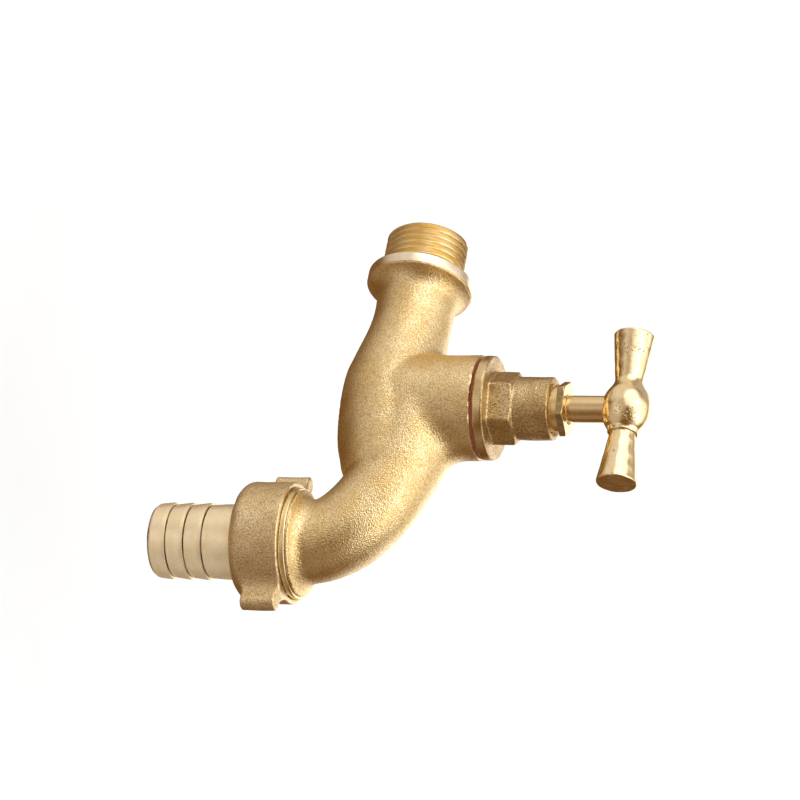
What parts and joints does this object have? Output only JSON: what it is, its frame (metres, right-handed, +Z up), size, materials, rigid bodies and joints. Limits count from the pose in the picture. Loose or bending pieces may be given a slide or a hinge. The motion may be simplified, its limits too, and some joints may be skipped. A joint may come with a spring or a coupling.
{
  "type": "hose bib",
  "caption": "Brass garden tap with a threaded wall inlet, screw-down valve, tee handle, curved spout, union nut with lugs and a barbed hose tail.",
  "frame": {"origin": "centre of the inlet flange's wall-side face, on the inlet axis", "axes": "-X along the inlet thread into the wall, +X along the body to the spout, +Z up the spindle, outlet and hose tail along -Z"},
  "size_m": [0.1114, 0.0306, 0.1213],
  "materials": {
    "cast_brass": "bead-blasted casting",
    "forged_brass": "blasted forging with machined edges",
    "nut_brass": "blasted casting",
    "turned_brass": "fine turned",
    "machined_brass": "machined",
    "polished_brass": "polished casting with small pits",
    "red_fibre": "pressed fibre sheet",
    "graphite_packing": "pressed graphite",
    "black_rubber": "matt",
    "steel": "machined"
  },
  "bodies": {
    "casting": {"body": "cast_brass", "bonnet": "forged_brass", "bonnet_washer": "red_fibre", "gland_nut": "machined_brass", "gland_follower": "machined_brass", "packing_ring_upper": "graphite_packing", "packing_ring_lower": "graphite_packing"},
    "valve": {"jumper_valve": "machined_brass", "tap_washer": "black_rubber", "jumper_nut": "machined_brass"},
    "spindle": {"spindle": "turned_brass", "handle": "polished_brass", "handle_screw": "steel"},
    "washer": {"union_washer": "black_rubber"},
    "nut": {"union_nut": "nut_brass"},
    "tail": {"hose_tail": "turned_brass"}
  },
  "joints": [
    {"name": "valve_lift", "type": "slide", "parent": "casting", "child": "valve", "axis": [0, 0, 1], "range_m": [0, 0.005]},
    {"name": "handle_turn", "type": "hinge", "parent": "valve", "child": "spindle", "pos_m": [0.0386, 0, 0.0597], "axis": [0, 0, 1], "range_deg": [0, 721]},
    {"name": "union_drop", "type": "slide", "parent": "casting", "child": "washer", "axis": [0, 0, -1], "range_m": [0, 0.009]},
    {"name": "nut_turn", "type": "hinge", "parent": "washer", "child": "nut", "pos_m": [0.0788, 0, -0.025], "axis": [0, 0, -1], "range_deg": [0, 1787]},
    {"name": "tail_swivel", "type": "hinge", "parent": "washer", "child": "tail", "pos_m": [0.0788, 0, -0.045], "axis": [0, 0, 1], "continuous": true}
  ],
  "couplings": [
    {"joint": "handle_turn", "follows": "valve_lift", "rad_per_m": 2513.3},
    {"joint": "nut_turn", "follows": "union_drop", "rad_per_m": 3463.7}
  ]
}
